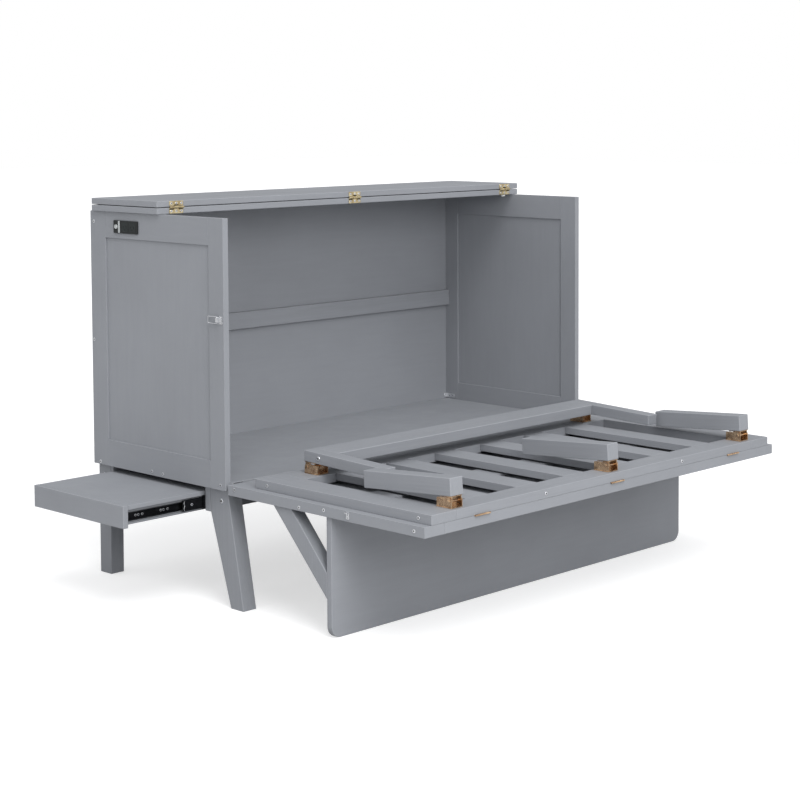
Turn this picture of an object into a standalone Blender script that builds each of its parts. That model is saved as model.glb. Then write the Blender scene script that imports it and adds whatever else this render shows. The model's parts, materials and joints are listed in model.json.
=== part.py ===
"""A cabinet bed: a low cabinet whose front folds down and carries a slatted foot section.

Metres, +Z up. Every place below is given in cabinet coordinates: x runs from the left side's
outer face, y runs to the rear from the side panels' front edges, z runs up from the floor.
One empty carries the whole model and puts the middle of its bounding box at the origin.
"""

from math import cos, pi, radians, sin

import bmesh
import bpy
from mathutils import Matrix, Vector

NAME = "cabinet_bed"
GAP = 0.0003            # clearance between pieces that touch

# Cabinet
WIDTH = 1.473
DEPTH = 0.585
BOARD = 0.018
CARCASS = (0.3195, 1.0447)      # heights of the carcass's lower and upper edges
STILE_FRONT = 0.061
STILE_REAR = 0.515
RAIL_TOP = 0.971
RAIL_BOTTOM = 0.395
FIELD = (0.0045, 0.0135)        # faces of a side's inset field, measured through its board
BACK = (0.569, DEPTH)
FLOOR_FRONT = 0.007
MID_RAIL_Y = 0.555
MID_RAIL_Z = (0.660, 0.711)

# Top and folding lid
TOP_OVERHANG = 0.008
TOP_Y = (0.268, 0.568)
TOP_Z = CARCASS[1] + GAP
LID_AXIS = Vector((WIDTH / 2, TOP_Y[0] - 0.0035, TOP_Z + BOARD + 0.00025))
LID_Z = (TOP_Z + BOARD + 0.0005, TOP_Z + 2 * BOARD + 0.0005)
LID_HINGES = (0.058, WIDTH / 2, WIDTH - 0.058)
LID_HINGE_LENGTH = 0.048

# Legs and aprons
LEG_X = (0.0166, 0.0617)
LEG_TOP = CARCASS[0] - GAP
FRONT_LEG = ((0.012, LEG_TOP), (0.084, LEG_TOP), (0.0825, 0.250), (0.003, 0.0), (-0.0485, 0.0))
REAR_LEG = ((0.531, LEG_TOP), (DEPTH, LEG_TOP), (DEPTH, 0.0), (0.534, 0.0))
APRON_Z = (0.250, LEG_TOP)
FRONT_APRON = (0.0843, 0.1055)
REAR_APRON = (0.5173, 0.5307)

# Pull-out shelf on ball-bearing slides
SHELF_Y = (0.1185, 0.505)       # the body's faces that carry the slides
SHELF_TOP_Y = (0.111, 0.5125)
SHELF_FRONT_Y = (0.111, 0.515)
SHELF_Z = (0.243, 0.303)
SHELF_UNDERSIDE = 0.2505
SHELF_TOP = 0.012               # thickness of the body's overhanging top
SHELF_FRONT = (-0.252, -0.236)
SHELF_END = 0.114
SLIDE_OUTER = (0.011, 0.361)
SLIDE_MIDDLE = (-0.059, 0.181)
SLIDE_Z = 0.2727
SHEET = 0.0012

# Front panel, hung on a pivot through the middle of its thickness
PANEL_Z = (0.311, 0.338)
PANEL_Y = (-0.7345, -0.010)
PIVOT = Vector((WIDTH / 2, -0.020, 0.3245))
PANEL_STILE = 0.070
PANEL_MID_RAIL = (-0.438, -0.350)
PANEL_FIELD_Z = (0.314, 0.331)
PIVOTS = (0.047, WIDTH - 0.047)
KNUCKLE = 0.005
PIVOT_PIN = 0.002
NOTCH_HALF = 0.0065     # half width of the notch around each pivot's bracket
HOOK = (0.303, 0.307)   # heights of the bracket's bar, under the swing of the panel's end

# Leg panel under the front panel, with its braces
LEG_PANEL_X = (0.006, WIDTH - 0.006)
LEG_PANEL_Y = (-0.403, -0.385)
LEG_PANEL_CORNER = 0.030
BRACE_THICKNESS = 0.038
BRACE_TOP = (-0.252, -0.183)
BRACE_FOOT = (0.099, 0.166)

# Foot section, folded face down on the front panel
SECTION_Z = (0.3383, 0.3633)
SECTION_Y = (PANEL_Y[0], -0.092)
SECTION_X = (0.024, WIDTH - 0.024)
SECTION_STILE = 0.087
OUTER_RAIL = -0.664
FREE_RAIL = -0.192
SLATS = 6
SLAT_WIDTH = 0.080
SLAT_PITCH = 0.1905
SLAT_THICKNESS = 0.020
SECTION_AXIS = Vector((WIDTH / 2, PANEL_Y[0] - 0.0027, 0.33815))
SECTION_HINGES = (0.203, WIDTH / 2, WIDTH - 0.203)
SECTION_HINGE_LENGTH = 0.055
SECTION_KNUCKLE = 0.0024
LEAF_DEPTH = 0.016
LEAF_Z = ((0.3366, 0.3378), (0.3385, 0.3397))

# Folding legs of the foot section: u runs along the leg from its pivot, v away from the section
PIVOT_Z = 0.380
LEG_TIP = 0.291
MID_LEG = 0.045
MID_LEG_X = (0.1265, WIDTH / 2, WIDTH - 0.1265)
MID_LEG_PIVOT_Y = -0.712
MID_LEG_TILT = radians(-4.0)
MID_LEG_V = 0.0135
LUG = 0.016             # half width of the lug under a folding leg
END_ARM = 0.042
END_ARM_X = (0.183, WIDTH - 0.183)
END_PIVOT_Y = -0.142
END_TILT = radians(2.2)
END_V = 0.0155
END_THICKNESS = 0.030
END_BOARD = 0.088
BACKSET = 0.0115        # length of a leg behind its pivot
LEG_PIN = 0.003

# Draw latches
LATCH_Z = 0.775
BOW_PIVOT_Y = 0.022
BOW_REACH = 0.035
BOW_WIRE = 0.0011
STRIKE_Y = PIVOT.y - (LATCH_Z - PIVOT.z)

# Outlet in the left side
OUTLET_Y = (0.362, 0.472)
OUTLET_Z = (0.986, 1.022)
OUTLET_LIP = 0.0035
BUTTON = 0.0062
BUTTON_Y = 0.459

LOWEST = Vector((SHELF_FRONT[0], SECTION_AXIS.y - SECTION_KNUCKLE, 0.0))
HIGHEST = Vector((WIDTH + TOP_OVERHANG, DEPTH, LID_Z[1]))
ORIGIN = Vector(((LOWEST.x + HIGHEST.x) / 2, (LOWEST.y + HIGHEST.y) / 2, 0.0))

PAINT = ("grey_paint", (0.196, 0.211, 0.233), 0.45, 0.0)
BRASS = ("brass", (0.62, 0.42, 0.14), 0.32, 1.0)
CHROME = ("chrome", (0.62, 0.63, 0.65), 0.15, 1.0)
STEEL = ("zinc_steel", (0.42, 0.43, 0.45), 0.35, 1.0)
BLACK_STEEL = ("black_steel", (0.025, 0.025, 0.028), 0.35, 1.0)
BLACK_PLASTIC = ("black_plastic", (0.012, 0.014, 0.015), 0.35, 0.0)
GREY_PLASTIC = ("grey_plastic", (0.34, 0.36, 0.36), 0.40, 0.0)

BODY_PLACES = {}
BODY_EMPTIES = {}
COLLECTIONS = {}


# ---------------------------------------------------------------- helpers

def clear_scene():
    for item in list(bpy.data.objects):
        bpy.data.objects.remove(item, do_unlink=True)
    for name in (NAME, "cutters"):
        collection = bpy.data.collections.new(name)
        bpy.context.scene.collection.children.link(collection)
        COLLECTIONS[name] = collection


def body(name, place, parent=None):
    """An empty on a body's joint axis; everything on the body hangs on it."""
    empty = bpy.data.objects.new(name + "_axis", None)
    COLLECTIONS[NAME].objects.link(empty)
    place = Vector(place)
    if parent is None:
        empty.location = place - ORIGIN
    else:
        empty.parent = BODY_EMPTIES[parent]
        empty.location = place - BODY_PLACES[parent]
    BODY_PLACES[name] = place
    BODY_EMPTIES[name] = empty


def material_for(finish):
    name, colour, roughness, metallic = finish
    if name in bpy.data.materials:
        return bpy.data.materials[name]
    material = bpy.data.materials.new(name)
    material.use_nodes = True
    shader = material.node_tree.nodes["Principled BSDF"]
    shader.inputs["Base Color"].default_value = (*colour, 1.0)
    shader.inputs["Roughness"].default_value = roughness
    shader.inputs["Metallic"].default_value = metallic
    return material


def place(name, shape, owner, finish, tilt=0.0, smooth=False, tool=False):
    """Turn a bmesh in cabinet coordinates into an object that hangs on its body's empty."""
    low = Vector([min(v.co[i] for v in shape.verts) for i in range(3)])
    high = Vector([max(v.co[i] for v in shape.verts) for i in range(3)])
    centre = (low + high) / 2
    bmesh.ops.translate(shape, verts=shape.verts, vec=-centre)
    mesh = bpy.data.meshes.new(name)
    shape.to_mesh(mesh)
    shape.free()
    if smooth:
        mesh.shade_smooth()
        mesh.set_sharp_from_angle(angle=radians(35))
    item = bpy.data.objects.new(name, mesh)
    COLLECTIONS["cutters" if tool else NAME].objects.link(item)
    turn = Matrix.Rotation(tilt, 3, "X")
    item.parent = BODY_EMPTIES[owner]
    item.location = turn @ (centre - BODY_PLACES[owner])
    item.rotation_euler = (tilt, 0.0, 0.0)
    if tool:
        item.hide_render = True
        item.display_type = "WIRE"
    else:
        mesh.materials.append(material_for(finish))
    return item


def combine(item, shape, operation):
    """A Boolean with a cutter that is kept, hidden, beside the piece it shapes."""
    number = len(item.modifiers) + 1
    owner = item.parent.name.removesuffix("_axis")
    modifier = item.modifiers.new(operation.lower(), "BOOLEAN")
    modifier.operation = operation
    modifier.solver = "EXACT"
    modifier.object = place(f"{item.name}_cutter_{number}", shape, owner, None,
                            item.rotation_euler.x, tool=True)


def cut(item, shape):
    combine(item, shape, "DIFFERENCE")


def join(item, shape):
    combine(item, shape, "UNION")


def span_mesh(spans):
    """Blocks between (low, high) pairs along x, y and z."""
    shape = bmesh.new()
    for x, y, z in spans:
        corners = [sorted(pair) for pair in (x, y, z)]
        size = Vector([pair[1] - pair[0] for pair in corners])
        middle = Vector([(pair[0] + pair[1]) / 2 for pair in corners])
        scale = Matrix.Diagonal((*size, 1.0))
        bmesh.ops.create_cube(shape, size=1.0, matrix=Matrix.Translation(middle) @ scale)
    return shape


def rod_mesh(rods, segments=12):
    """Cylinders along x or y: (centre, radius, length, axis letter)."""
    turns = {"X": Matrix.Rotation(pi / 2, 4, "Y"), "Y": Matrix.Rotation(pi / 2, 4, "X")}
    shape = bmesh.new()
    for centre, radius, length, axis in rods:
        matrix = Matrix.Translation(centre) @ turns[axis]
        bmesh.ops.create_cone(shape, cap_ends=True, segments=segments, radius1=radius,
                              radius2=radius, depth=length, matrix=matrix)
    return shape


def curve_mesh(curve):
    """The welded mesh of a curve."""
    holder = bpy.data.objects.new("curve", curve)
    COLLECTIONS[NAME].objects.link(holder)
    evaluated = holder.evaluated_get(bpy.context.evaluated_depsgraph_get())
    mesh = bpy.data.meshes.new_from_object(evaluated)
    bpy.data.objects.remove(holder, do_unlink=True)
    shape = bmesh.new()
    shape.from_mesh(mesh)
    bpy.data.meshes.remove(mesh)
    bmesh.ops.remove_doubles(shape, verts=shape.verts, dist=0.00001)
    return shape


def prism_mesh(outlines, plane, span):
    """A flat outline (and its holes) drawn in the named plane, spanning the third axis."""
    curve = bpy.data.curves.new("outline", "CURVE")
    curve.dimensions = "2D"
    curve.fill_mode = "BOTH"
    curve.extrude = abs(span[1] - span[0]) / 2
    for outline in outlines:
        spline = curve.splines.new("POLY")
        spline.points.add(len(outline) - 1)
        for point, (a, b) in zip(spline.points, outline):
            point.co = (a, b, 0.0, 1.0)
        spline.use_cyclic_u = True
    shape = curve_mesh(curve)
    middle = (span[0] + span[1]) / 2
    if plane == "yz":
        turn = Matrix.Rotation(pi / 2, 4, "Z") @ Matrix.Rotation(pi / 2, 4, "X")
        shift = Vector((middle, 0.0, 0.0))
    elif plane == "xy":
        turn = Matrix()
        shift = Vector((0.0, 0.0, middle))
    else:
        turn = Matrix.Rotation(pi / 2, 4, "X")
        shift = Vector((0.0, middle, 0.0))
    shape.transform(Matrix.Translation(shift) @ turn)
    return shape


def arc(centre, radius, start, end, steps):
    """Points on an arc, angles in degrees."""
    angles = [radians(start + (end - start) * i / steps) for i in range(steps + 1)]
    return [(centre[0] + radius * cos(a), centre[1] + radius * sin(a)) for a in angles]


def mirrored(span):
    """The same x span on the other side of the cabinet."""
    return WIDTH - span[1], WIDTH - span[0]


def both_sides(span):
    return span, mirrored(span)


def around(centre, half):
    return centre - half, centre + half


def blocks(name, owner, finish, spans, tilt=0.0):
    return place(name, span_mesh(spans), owner, finish, tilt)


# ---------------------------------------------------------------- hinges

def butt_hinge(name, owners, axis, x, length, plate_y, plate_z):
    """Two leaves: the first holds the end knuckles and the pin, the second the middle knuckle."""
    radius = max(abs(axis.y - y) for y in plate_y)
    third = length / 3
    ends = (x - third, x + third)

    def rods(places, size, span):
        return rod_mesh([(Vector((p, axis.y, axis.z)), size, span, "X") for p in places])

    fixed = blocks(f"{name}_{owners[0][1]}", owners[0][0], BRASS,
                   [(around(x, length / 2), plate_y, plate_z[0])])
    cut(fixed, rods([x], radius + 0.0004, third + 0.0004))
    join(fixed, rods(ends, radius, third - 0.0004))
    join(fixed, rods([x], 0.0012, length - 0.004))
    moving = blocks(f"{name}_{owners[1][1]}", owners[1][0], BRASS,
                    [(around(x, length / 2), plate_y, plate_z[1])])
    cut(moving, rods(ends, radius + 0.0004, third + 0.0004))
    join(moving, rods([x], radius, third - 0.0004))
    cut(moving, rods([x], 0.0015, length))


def build_hinges():
    plate_y = (TOP_Y[0] - GAP - SHEET, TOP_Y[0] - GAP)
    plate_z = ((TOP_Z + 0.001, LID_AXIS.z - 0.0003), (LID_AXIS.z + 0.0003, LID_Z[1] - 0.001))
    for label, x in zip(("left", "middle", "right"), LID_HINGES):
        butt_hinge(f"lid_hinge_{label}", (("cabinet", "top_leaf"), ("lid", "lid_leaf")), LID_AXIS,
                   x, LID_HINGE_LENGTH, plate_y, plate_z)
    for label, x in zip(("left", "middle", "right"), SECTION_HINGES):
        edge_hinge(f"section_hinge_{label}", x)


def edge_hinge(name, x):
    """A hinge at the panel's outer edge, its leaves let into the two faces that meet there."""
    radius, third = SECTION_KNUCKLE, SECTION_HINGE_LENGTH / 3
    y = (SECTION_AXIS.y, PANEL_Y[0] + LEAF_DEPTH)

    def rods(places, size, span):
        return rod_mesh([(Vector((p, SECTION_AXIS.y, SECTION_AXIS.z)), size, span, "X")
                         for p in places])

    for label, owner, z, own, others in (
            ("panel_leaf", "front_panel", LEAF_Z[0], (x - third, x + third), (x,)),
            ("section_leaf", "foot_section", LEAF_Z[1], (x,), (x - third, x + third))):
        leaf = blocks(f"{name}_{label}", owner, BRASS,
                      [(around(x, SECTION_HINGE_LENGTH / 2), y, z)])
        cut(leaf, rods(others, radius + 0.0004, third + 0.0004))
        join(leaf, rods(own, radius, third - 0.0004))
        if owner == "front_panel":
            join(leaf, rods([x], 0.0012, SECTION_HINGE_LENGTH - 0.004))
        else:
            cut(leaf, rods([x], 0.0015, SECTION_HINGE_LENGTH))


def leaf_pockets(z):
    """The shallow pockets that the section hinges' leaves lie in."""
    half = SECTION_HINGE_LENGTH / 2 + GAP
    y = (PANEL_Y[0] - 0.005, PANEL_Y[0] + LEAF_DEPTH + GAP)
    return span_mesh([(around(x, half), y, z) for x in SECTION_HINGES])


# ---------------------------------------------------------------- cabinet

def build_sides():
    """Frame and panel sides: the field is set back from both faces."""
    rail_y = (STILE_FRONT, STILE_REAR)
    rail_z = (RAIL_BOTTOM, RAIL_TOP)
    for side, x in zip(("left", "right"), both_sides((0.0, BOARD))):
        panel = blocks(f"{side}_side_panel", "cabinet", PAINT, [(x, (0.0, DEPTH), CARCASS)])
        recesses = [((x[0] - 0.005, x[0] + FIELD[0]), rail_y, rail_z),
                    ((x[1] - FIELD[0], x[1] + 0.005), rail_y, rail_z)]
        if side == "left":
            recesses.append(((x[0] - 0.005, x[1] + 0.005), around(sum(OUTLET_Y) / 2, 0.0513),
                             around(sum(OUTLET_Z) / 2, 0.0143)))
        cut(panel, span_mesh(recesses))


def build_carcass():
    inner = (BOARD + GAP, WIDTH - BOARD - GAP)
    blocks("back_panel", "cabinet", PAINT, [(inner, BACK, CARCASS)])
    blocks("back_mid_rail", "cabinet", PAINT, [(inner, (MID_RAIL_Y, BACK[0] - GAP), MID_RAIL_Z)])
    blocks("cabinet_floor", "cabinet", PAINT,
           [(inner, (FLOOR_FRONT, BACK[0] - GAP), (CARCASS[0], CARCASS[0] + BOARD))])
    top_x = (-TOP_OVERHANG, WIDTH + TOP_OVERHANG)
    blocks("top_board", "cabinet", PAINT, [(top_x, TOP_Y, (TOP_Z, TOP_Z + BOARD))])
    blocks("lid_board", "lid", PAINT, [(top_x, TOP_Y, LID_Z)])


def build_base():
    for side, x in zip(("left", "right"), both_sides(LEG_X)):
        place(f"front_leg_{side}", prism_mesh([FRONT_LEG], "yz", x), "cabinet", PAINT)
        place(f"rear_leg_{side}", prism_mesh([REAR_LEG], "yz", x), "cabinet", PAINT)
    apron_x = (LEG_X[0], WIDTH - LEG_X[0])
    blocks("front_apron", "cabinet", PAINT, [(apron_x, FRONT_APRON, APRON_Z)])
    blocks("rear_apron", "cabinet", PAINT, [(apron_x, REAR_APRON, APRON_Z)])


def build_corner_bracket():
    """An angle bracket joining the right side to the back, just above the floor."""
    low = CARCASS[0] + BOARD + 0.004
    wall, rear = WIDTH - BOARD - GAP, BACK[0] - GAP
    outline = [(wall, rear), (wall - 0.012, rear), (wall - 0.012, rear - SHEET),
               (wall - SHEET, rear - SHEET), (wall - SHEET, rear - 0.040), (wall, rear - 0.040)]
    place("corner_bracket", prism_mesh([outline], "xy", (low, low + 0.014)), "cabinet", STEEL)


def build_outlet():
    middle_z = sum(OUTLET_Z) / 2
    housing = blocks("outlet_housing", "cabinet", BLACK_PLASTIC,
                     [((-GAP - OUTLET_LIP, -GAP), OUTLET_Y, OUTLET_Z)])
    join(housing, span_mesh([((-GAP - OUTLET_LIP / 2, BOARD + 0.014),
                              around(sum(OUTLET_Y) / 2, 0.051), around(middle_z, 0.014))]))
    cut(housing, rod_mesh([(Vector((-0.0032, BUTTON_Y, middle_z)), BUTTON + GAP, 0.0048, "X")], 20))
    button = [(Vector((-0.0048, BUTTON_Y, middle_z)), BUTTON, 0.0038, "X")]
    place("outlet_button", rod_mesh(button, 20), "outlet_button", GREY_PLASTIC, smooth=True)


# ---------------------------------------------------------------- draw latches

def latch_x(side, *distances):
    """Distances outward from a side's outer face, as x."""
    return tuple(sorted(-d if side == "left" else WIDTH + d for d in distances))


def build_latches():
    """On each side a base with a wire bow, and a strike on the front panel's edge."""
    for side in ("left", "right"):
        base = blocks(f"latch_base_{side}", "cabinet", CHROME,
                      [(latch_x(side, GAP, 0.0015), (0.003, 0.030), around(LATCH_Z, 0.0105))])
        join(base, span_mesh([(latch_x(side, 0.0010, 0.0085), around(BOW_PIVOT_Y, 0.004),
                               around(LATCH_Z, 0.0059))]))
        owner = f"latch_bow_{side}"
        place(owner, bow_mesh(side), owner, CHROME, smooth=True)
        place(f"latch_strike_{side}", strike_mesh(side), "front_panel", CHROME)


def bow_mesh(side):
    """A wire bow whose ends turn in beside the base's lug."""
    x = latch_x(side, 0.0062)[0]
    half = 0.0094
    route = ((BOW_PIVOT_Y, -0.0063), (BOW_PIVOT_Y, -half), (BOW_PIVOT_Y + BOW_REACH, -half),
             (BOW_PIVOT_Y + BOW_REACH, half), (BOW_PIVOT_Y, half), (BOW_PIVOT_Y, 0.0063))
    curve = bpy.data.curves.new("bow", "CURVE")
    curve.dimensions = "3D"
    curve.bevel_depth = BOW_WIRE
    curve.bevel_resolution = 2
    curve.use_fill_caps = True
    spline = curve.splines.new("POLY")
    spline.points.add(len(route) - 1)
    for point, (y, z) in zip(spline.points, route):
        point.co = (x, y, LATCH_Z + z, 1.0)
    return curve_mesh(curve)


def strike_mesh(side):
    """A plate on the panel's edge with a lip for the bow's crossbar."""
    low, high = 0.317, 0.337
    lip = 0.333
    points = [(GAP, low), (0.0015, low), (0.0015, lip), (0.009, lip), (0.009, lip + 0.0025),
              (0.0015, lip + 0.0025), (0.0015, high), (GAP, high)]
    outline = [(latch_x(side, d)[0], z) for d, z in points]
    return prism_mesh([outline], "xz", around(STRIKE_Y, 0.006))


# ---------------------------------------------------------------- pull-out shelf

def channel(web, reach, centre_z, half, thickness):
    """A channel's outline in the yz plane: its web at y = web, its lips reaching sideways."""
    way = 1 if reach > 0 else -1
    return [(web, centre_z - half), (web + reach, centre_z - half),
            (web + reach, centre_z - half + thickness), (web + way * thickness, centre_z - half + thickness),
            (web + way * thickness, centre_z + half - thickness),
            (web + reach, centre_z + half - thickness), (web + reach, centre_z + half),
            (web, centre_z + half)]


def build_slides():
    """Three nested channels at the front and the rear; the outer ones are screwed to the aprons."""
    inner_x = (SHELF_FRONT[1] + GAP, SHELF_END)
    for end, apron, side, way in (("front", FRONT_APRON[1] + GAP, SHELF_Y[0] - GAP, 1),
                                  ("rear", REAR_APRON[0] - GAP, SHELF_Y[1] + GAP, -1)):
        for name, owner, span, web, reach, half, finish in (
                ("outer", "cabinet", SLIDE_OUTER, apron, way * 0.0095, 0.0180, BLACK_STEEL),
                ("middle", "slide_middle", SLIDE_MIDDLE, apron + way * 0.0030, way * 0.0040,
                 0.0150, BLACK_STEEL),
                ("inner", "shelf", inner_x, side, way * -0.0072, 0.0110, BLACK_STEEL)):
            outline = channel(web, reach, SLIDE_Z, half, SHEET)
            place(f"slide_{end}_{name}", prism_mesh([outline], "yz", span), owner, finish)


def build_shelf():
    """A front board, and a body whose top overhangs the slides."""
    blocks("shelf_front", "shelf", PAINT, [(SHELF_FRONT, SHELF_FRONT_Y, SHELF_Z)])
    x = (SHELF_FRONT[1] + GAP, SHELF_END)
    shelf = blocks("shelf_body", "shelf", PAINT, [(x, SHELF_Y, (SHELF_UNDERSIDE, SHELF_Z[1]))])
    join(shelf, span_mesh([(x, SHELF_TOP_Y, (SHELF_Z[1] - SHELF_TOP, SHELF_Z[1]))]))


# ---------------------------------------------------------------- front panel

def build_front_panel():
    """A framed panel with a rail across its middle, its fields set back from both faces."""
    panel = blocks("front_panel", "front_panel", PAINT, [((0.0, WIDTH), PANEL_Y, PANEL_Z)])
    field_x = (PANEL_STILE, WIDTH - PANEL_STILE)
    recesses = []
    for y in ((PANEL_Y[0] + PANEL_STILE, PANEL_MID_RAIL[0]),
              (PANEL_MID_RAIL[1], PANEL_Y[1] - PANEL_STILE)):
        recesses.append((field_x, y, (PANEL_FIELD_Z[1], PANEL_Z[1] + 0.005)))
        recesses.append((field_x, y, (PANEL_Z[0] - 0.005, PANEL_FIELD_Z[0])))
    cut(panel, span_mesh(recesses))
    notch_y = (PIVOT.y - KNUCKLE - 0.0007, PANEL_Y[1] + 0.005)
    notch_z = (PANEL_Z[0] - 0.005, PIVOT.z + KNUCKLE + 0.0007)
    cut(panel, span_mesh([(around(x, NOTCH_HALF), notch_y, notch_z) for x in PIVOTS]))
    cut(panel, pivot_rods(PIVOT_PIN + GAP, 0.0606))
    cut(panel, leaf_pockets((LEAF_Z[0][0] - GAP, PANEL_Z[1] + 0.005)))


def pivot_rods(radius, length, places=PIVOTS):
    return rod_mesh([(Vector((x, PIVOT.y, PIVOT.z)), radius, length, "X") for x in places])


def build_pivots():
    """Each pivot: a pin in the panel, held by a cranked bracket on the floor's front edge."""
    flange_y = (FLOOR_FRONT - GAP - 0.003, FLOOR_FRONT - GAP)
    riser_y = around(PIVOT.y, 0.0025)
    for side, x in zip(("left", "right"), PIVOTS):
        width = around(x, NOTCH_HALF - 0.0005)
        bracket = blocks(f"pivot_bracket_{side}", "cabinet", STEEL,
                         [(around(x, 0.018), flange_y, (HOOK[0], 0.337))])
        join(bracket, span_mesh([(width, (riser_y[0], flange_y[0] + 0.001), HOOK)]))
        join(bracket, span_mesh([(width, riser_y, (HOOK[1] - 0.001, PIVOT.z))]))
        join(bracket, pivot_rods(KNUCKLE, width[1] - width[0], [x]))
        cut(bracket, pivot_rods(PIVOT_PIN + GAP, 0.030, [x]))
        place(f"pivot_pin_{side}", pivot_rods(PIVOT_PIN, 0.060, [x]), "front_panel", STEEL,
              smooth=True)


def build_leg_panel():
    low, high = LEG_PANEL_X
    top = PANEL_Z[0] - GAP
    r = LEG_PANEL_CORNER
    outline = [(low, top)]
    outline += arc((low + r, r), r, 180, 270, 6)
    outline += arc((high - r, r), r, 270, 360, 6)
    outline += [(high, top)]
    place("leg_panel", prism_mesh([outline], "xz", LEG_PANEL_Y), "front_panel", PAINT)
    rear = LEG_PANEL_Y[1] + GAP
    brace = [(BRACE_TOP[1], top), (BRACE_TOP[0], top), (rear, BRACE_FOOT[1]), (rear, BRACE_FOOT[0])]
    for side, x in zip(("left", "right"), both_sides((low, low + BRACE_THICKNESS))):
        place(f"leg_brace_{side}", prism_mesh([brace], "yz", x), "front_panel", PAINT)


# ---------------------------------------------------------------- foot section

def build_foot_section():
    """A frame with thinner slats, cut out of one slab; the slats are flush with its upper face."""
    section = blocks("foot_section", "foot_section", PAINT, [(SECTION_X, SECTION_Y, SECTION_Z)])
    first = WIDTH / 2 - SLAT_PITCH * (SLATS - 1) / 2
    edges = [SECTION_X[0] + SECTION_STILE]
    for i in range(SLATS):
        edges += around(first + SLAT_PITCH * i, SLAT_WIDTH / 2)
    edges.append(SECTION_X[1] - SECTION_STILE)
    z = (SECTION_Z[0] - 0.005, SECTION_Z[1] + 0.005)
    spaces = [(pair, (OUTER_RAIL, FREE_RAIL), z) for pair in zip(edges[::2], edges[1::2])]
    cut(section, span_mesh(spaces))
    under = (SECTION_Z[0] - 0.005, SECTION_Z[1] - SLAT_THICKNESS)
    cut(section, span_mesh([((edges[0], edges[-1]), (OUTER_RAIL, FREE_RAIL), under)]))
    cut(section, leaf_pockets((SECTION_Z[0] - 0.005, LEAF_Z[1][1] + GAP)))


# ---------------------------------------------------------------- folding legs

def cheek_outline(pivot_y, way):
    """A fixed bracket's cheek: rounded about the pivot, running on under the leg."""
    base = SECTION_Z[1] + GAP
    quarter = arc((pivot_y, PIVOT_Z), 0.0100, 90, 180 if way > 0 else 0, 5)
    far = pivot_y + way * 0.040
    return quarter + [(pivot_y - way * 0.0100, base), (far, base), (far, PIVOT_Z + 0.0075)]


def bore_outline(pivot_y):
    return arc((pivot_y, PIVOT_Z), LEG_PIN + GAP, 0, 330, 11)


def lug_mesh(x, pivot_y, v):
    """The lug under a folding leg, bored for the bracket's pin."""
    radius = 0.0090
    top = PIVOT_Z + v + 0.001
    outline = arc((pivot_y, PIVOT_Z), radius, 180, 360, 8)
    outline += [(pivot_y + radius, top), (pivot_y - radius, top)]
    return prism_mesh([outline, bore_outline(pivot_y)], "yz", around(x, LUG))


def build_bracket(name, x, pivot_y, way):
    """A bracket on the foot section with its pin; the leg reaches out towards way."""
    base_z = (SECTION_Z[1] + GAP, SECTION_Z[1] + GAP + 0.002)
    base = blocks(name, "foot_section", BRASS,
                  [(around(x, 0.0210), (pivot_y - way * 0.0105, pivot_y + way * 0.0420), base_z)])
    for side in (-1, 1):
        join(base, prism_mesh([cheek_outline(pivot_y, way)], "yz", around(x + side * 0.0185, 0.0010)))
    join(base, rod_mesh([(Vector((x, pivot_y, PIVOT_Z)), LEG_PIN, 0.038, "X")]))


def build_mid_legs():
    for label, x in zip(("left", "middle", "right"), MID_LEG_X):
        name = f"mid_leg_{label}"
        span = (around(x, MID_LEG / 2), (MID_LEG_PIVOT_Y - BACKSET, MID_LEG_PIVOT_Y + LEG_TIP),
                (PIVOT_Z + MID_LEG_V, PIVOT_Z + MID_LEG_V + MID_LEG))
        leg = blocks(name, name, PAINT, [span], MID_LEG_TILT)
        join(leg, lug_mesh(x, MID_LEG_PIVOT_Y, MID_LEG_V))
        build_bracket(f"mid_leg_bracket_{label}", x, MID_LEG_PIVOT_Y, 1)


def build_end_frame():
    """Two legs and the board between them, swinging as one."""
    y = (END_PIVOT_Y - LEG_TIP, END_PIVOT_Y + BACKSET)
    z = (PIVOT_Z + END_V, PIVOT_Z + END_V + END_THICKNESS)
    arms = [around(x, END_ARM / 2) for x in END_ARM_X]
    frame = blocks("end_frame", "end_frame", PAINT, [((arms[0][0], arms[1][1]), y, z)], END_TILT)
    cut(frame, span_mesh([((arms[0][1], arms[1][0]), (y[0] - 0.005, y[1] - END_BOARD),
                           (z[0] - 0.005, z[1] + 0.005))]))
    for side, x in zip(("left", "right"), END_ARM_X):
        join(frame, lug_mesh(x, END_PIVOT_Y, END_V))
        build_bracket(f"end_frame_bracket_{side}", x, END_PIVOT_Y, -1)


# ---------------------------------------------------------------- assembly

def build_bodies():
    body("cabinet", (0.0, 0.0, 0.0))
    body("lid", LID_AXIS, "cabinet")
    body("front_panel", PIVOT, "cabinet")
    body("foot_section", SECTION_AXIS, "front_panel")
    body("shelf", (SHELF_FRONT[0], sum(SHELF_Y) / 2, SLIDE_Z), "cabinet")
    body("slide_middle", (SLIDE_MIDDLE[0], sum(SHELF_Y) / 2, SLIDE_Z), "cabinet")
    body("outlet_button", (-0.0048, BUTTON_Y, sum(OUTLET_Z) / 2), "cabinet")
    for label, x in zip(("left", "middle", "right"), MID_LEG_X):
        body(f"mid_leg_{label}", (x, MID_LEG_PIVOT_Y, PIVOT_Z), "foot_section")
    body("end_frame", (WIDTH / 2, END_PIVOT_Y, PIVOT_Z), "foot_section")
    for side in ("left", "right"):
        body(f"latch_bow_{side}", (latch_x(side, 0.0062)[0], BOW_PIVOT_Y, LATCH_Z), "cabinet")


def main():
    clear_scene()
    build_bodies()
    build_sides()
    build_carcass()
    build_base()
    build_corner_bracket()
    build_outlet()
    build_latches()
    build_slides()
    build_shelf()
    build_front_panel()
    build_pivots()
    build_leg_panel()
    build_foot_section()
    build_mid_legs()
    build_end_frame()
    build_hinges()


main()
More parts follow.
